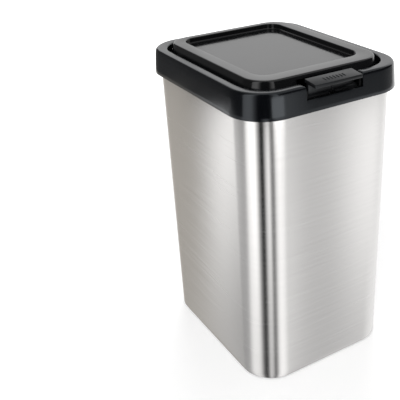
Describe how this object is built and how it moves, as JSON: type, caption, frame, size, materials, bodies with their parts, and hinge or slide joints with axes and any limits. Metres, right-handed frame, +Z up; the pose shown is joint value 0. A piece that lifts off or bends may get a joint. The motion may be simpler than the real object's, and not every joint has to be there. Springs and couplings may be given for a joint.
{
  "type": "push top countertop bin",
  "caption": "Small brushed-steel countertop bin with a black collar, a press button and a sprung hinged lid over a lift-out inner bucket.",
  "frame": {"origin": "on the floor, at the middle of the steel body", "axes": "+Z up, the button and the front face -Y, +X to the right seen from the front"},
  "size_m": [0.184, 0.2242, 0.33],
  "materials": {
    "steel_body": "satin, fine brushed grain running round the body",
    "collar_plastic": "smooth satin black",
    "button_plastic": "satin black, a shade lighter",
    "bucket_plastic": "matte black",
    "black_plastic": "matte black",
    "rubber": "matte",
    "hardware": "zinc-plated, bright",
    "spring_wire": "drawn wire"
  },
  "bodies": {
    "bin_body": {"outer_shell": "steel_body", "base_tray": "bucket_plastic", "foot_front_left": "rubber", "foot_front_right": "rubber", "foot_back_left": "rubber", "foot_back_right": "rubber"},
    "bucket": {"inner_bucket": "bucket_plastic"},
    "top": {"top_collar": "collar_plastic", "latch_housing": "black_plastic", "latch_screws": "hardware", "hinge_bracket_left": "black_plastic", "hinge_bracket_right": "black_plastic", "hinge_screws": "hardware", "hinge_pin_left": "hardware", "hinge_pin_right": "hardware", "lid_spring_left": "spring_wire", "lid_spring_right": "spring_wire", "lid_bumper_left": "rubber", "lid_bumper_right": "rubber", "button_pin": "hardware", "button_spring": "spring_wire"},
    "lid": {"lid_cover": "collar_plastic"},
    "button": {"push_button": "button_plastic"}
  },
  "joints": [
    {"name": "bucket_lift", "type": "slide", "parent": "bin_body", "child": "bucket", "axis": [0, 0, 1], "range_m": [0, 0.3]},
    {"name": "top_lift", "type": "slide", "parent": "bucket", "child": "top", "axis": [0, 0, 1], "range_m": [0, 0.06]},
    {"name": "lid_hinge", "type": "hinge", "parent": "top", "child": "lid", "pos_m": [0, 0.08, 0.32], "axis": [-1, 0, 0], "range_deg": [0, 65], "deforming": ["lid_spring_left", "lid_spring_right"]},
    {"name": "button_press", "type": "hinge", "parent": "top", "child": "button", "pos_m": [0, -0.1008, 0.3115], "axis": [1, 0, 0], "range_deg": [0, 8], "stiffness_Nm_per_rad": 0.2, "springref_deg": -5.73, "deforming": ["button_spring"]}
  ]
}
